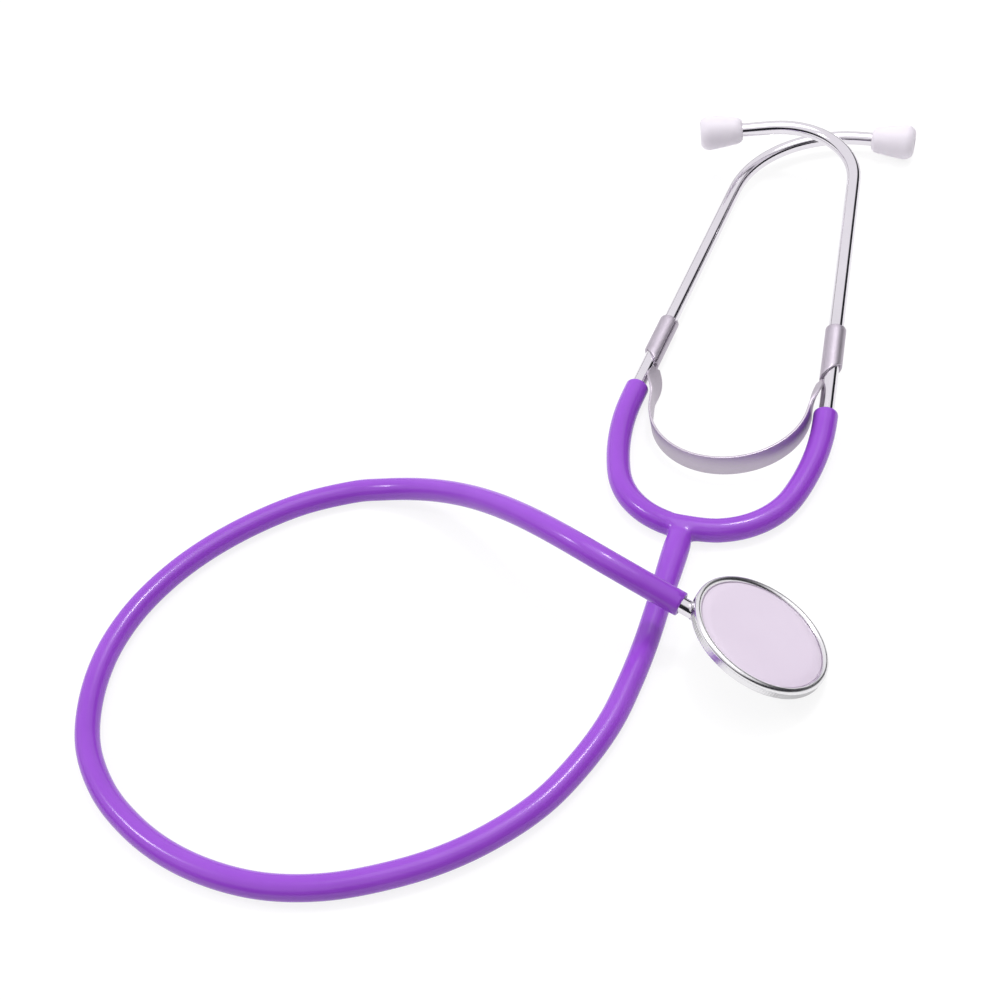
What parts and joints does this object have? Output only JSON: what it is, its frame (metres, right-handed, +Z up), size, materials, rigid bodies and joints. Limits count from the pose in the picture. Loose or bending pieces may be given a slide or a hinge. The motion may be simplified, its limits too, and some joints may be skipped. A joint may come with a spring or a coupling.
{
  "type": "stethoscope",
  "caption": "Single-head stethoscope with crossed metal ear tubes in a leaf spring, a moulded Y-shaped hose in a loose loop and a flat chestpiece with a screwed diaphragm ring",
  "frame": {"origin": "on the table, under the middle of the yoke where the neck meets the arms", "axes": "X from the left arm to the right arm, Y from the yoke along the ear tubes to the ear tips, Z up from the table"},
  "size_m": [0.2234, 0.3702, 0.0342],
  "materials": {
    "hose_vinyl": "semi-gloss purple vinyl",
    "spring_steel": "satin",
    "chromed_tube": "polished",
    "ear_tip_vinyl": "soft gloss",
    "chestpiece_metal": "polished",
    "diaphragm_plastic": "satin",
    "chromed_ring": "polished, knurled edge"
  },
  "bodies": {
    "tubing": {"yoke": "hose_vinyl", "left_arm": "hose_vinyl", "right_arm": "hose_vinyl", "hose": "hose_vinyl", "hose_cuff": "hose_vinyl", "leaf_spring": "spring_steel"},
    "left_clip": {"left_spring_clip": "spring_steel"},
    "right_clip": {"right_spring_clip": "spring_steel"},
    "left_ear": {"left_ear_tube": "chromed_tube"},
    "right_ear": {"right_ear_tube": "chromed_tube"},
    "left_tip": {"left_ear_tip": "ear_tip_vinyl"},
    "right_tip": {"right_ear_tip": "ear_tip_vinyl"},
    "chestpiece": {"stem": "chromed_tube", "chest_body": "chestpiece_metal"},
    "membrane": {"diaphragm": "diaphragm_plastic"},
    "ring": {"retaining_ring": "chromed_ring"}
  },
  "joints": [
    {"name": "left_spread", "type": "hinge", "parent": "tubing", "child": "left_clip", "pos_m": [-0.018, 0.038, 0.0041], "axis": [-0.0013, -0.0148, 0.9999], "range_deg": [0, 38], "stiffness_Nm_per_rad": 1, "deforming": ["left_arm", "leaf_spring"]},
    {"name": "right_spread", "type": "hinge", "parent": "tubing", "child": "right_clip", "pos_m": [0.018, 0.038, 0.0041], "axis": [-0.0084, 0.0955, -0.9954], "range_deg": [0, 38], "stiffness_Nm_per_rad": 1, "deforming": ["right_arm", "leaf_spring"]},
    {"name": "left_tube_turn", "type": "hinge", "parent": "left_clip", "child": "left_ear", "pos_m": [-0.03628, 0.01942, 0.0041], "axis": [-0.088, -0.996, -0.0148], "range_deg": [0, 12]},
    {"name": "right_tube_turn", "type": "hinge", "parent": "right_clip", "child": "right_ear", "pos_m": [0.03628, 0.01942, 0.0041], "axis": [-0.0876, 0.9915, 0.0958], "range_deg": [0, 30]},
    {"name": "left_tip_pull", "type": "slide", "parent": "left_ear", "child": "left_tip", "axis": [0.9998, -0.0183, 0.001], "range_m": [0, 0.016]},
    {"name": "right_tip_pull", "type": "slide", "parent": "right_ear", "child": "right_tip", "axis": [-0.9658, -0.2589, -0.0166], "range_m": [0, 0.016]},
    {"name": "chestpiece_swivel", "type": "hinge", "parent": "tubing", "child": "chestpiece", "pos_m": [0.0079, -0.04165, 0.01953], "axis": [-0.8967, 0.0966, 0.4319], "continuous": true},
    {"name": "diaphragm_lift", "type": "slide", "parent": "chestpiece", "child": "membrane", "axis": [0.4415, 0.2653, 0.8572], "range_m": [0, 0.0031]},
    {"name": "ring_unscrew", "type": "hinge", "parent": "membrane", "child": "ring", "pos_m": [0.0322, -0.0423, 0.01457], "axis": [0.4415, 0.2653, 0.8572], "range_deg": [0, 1080]}
  ],
  "couplings": [
    {"joint": "right_spread", "follows": "left_spread", "ratio": 1},
    {"joint": "diaphragm_lift", "follows": "ring_unscrew", "m_per_rad": 0.00015915}
  ]
}
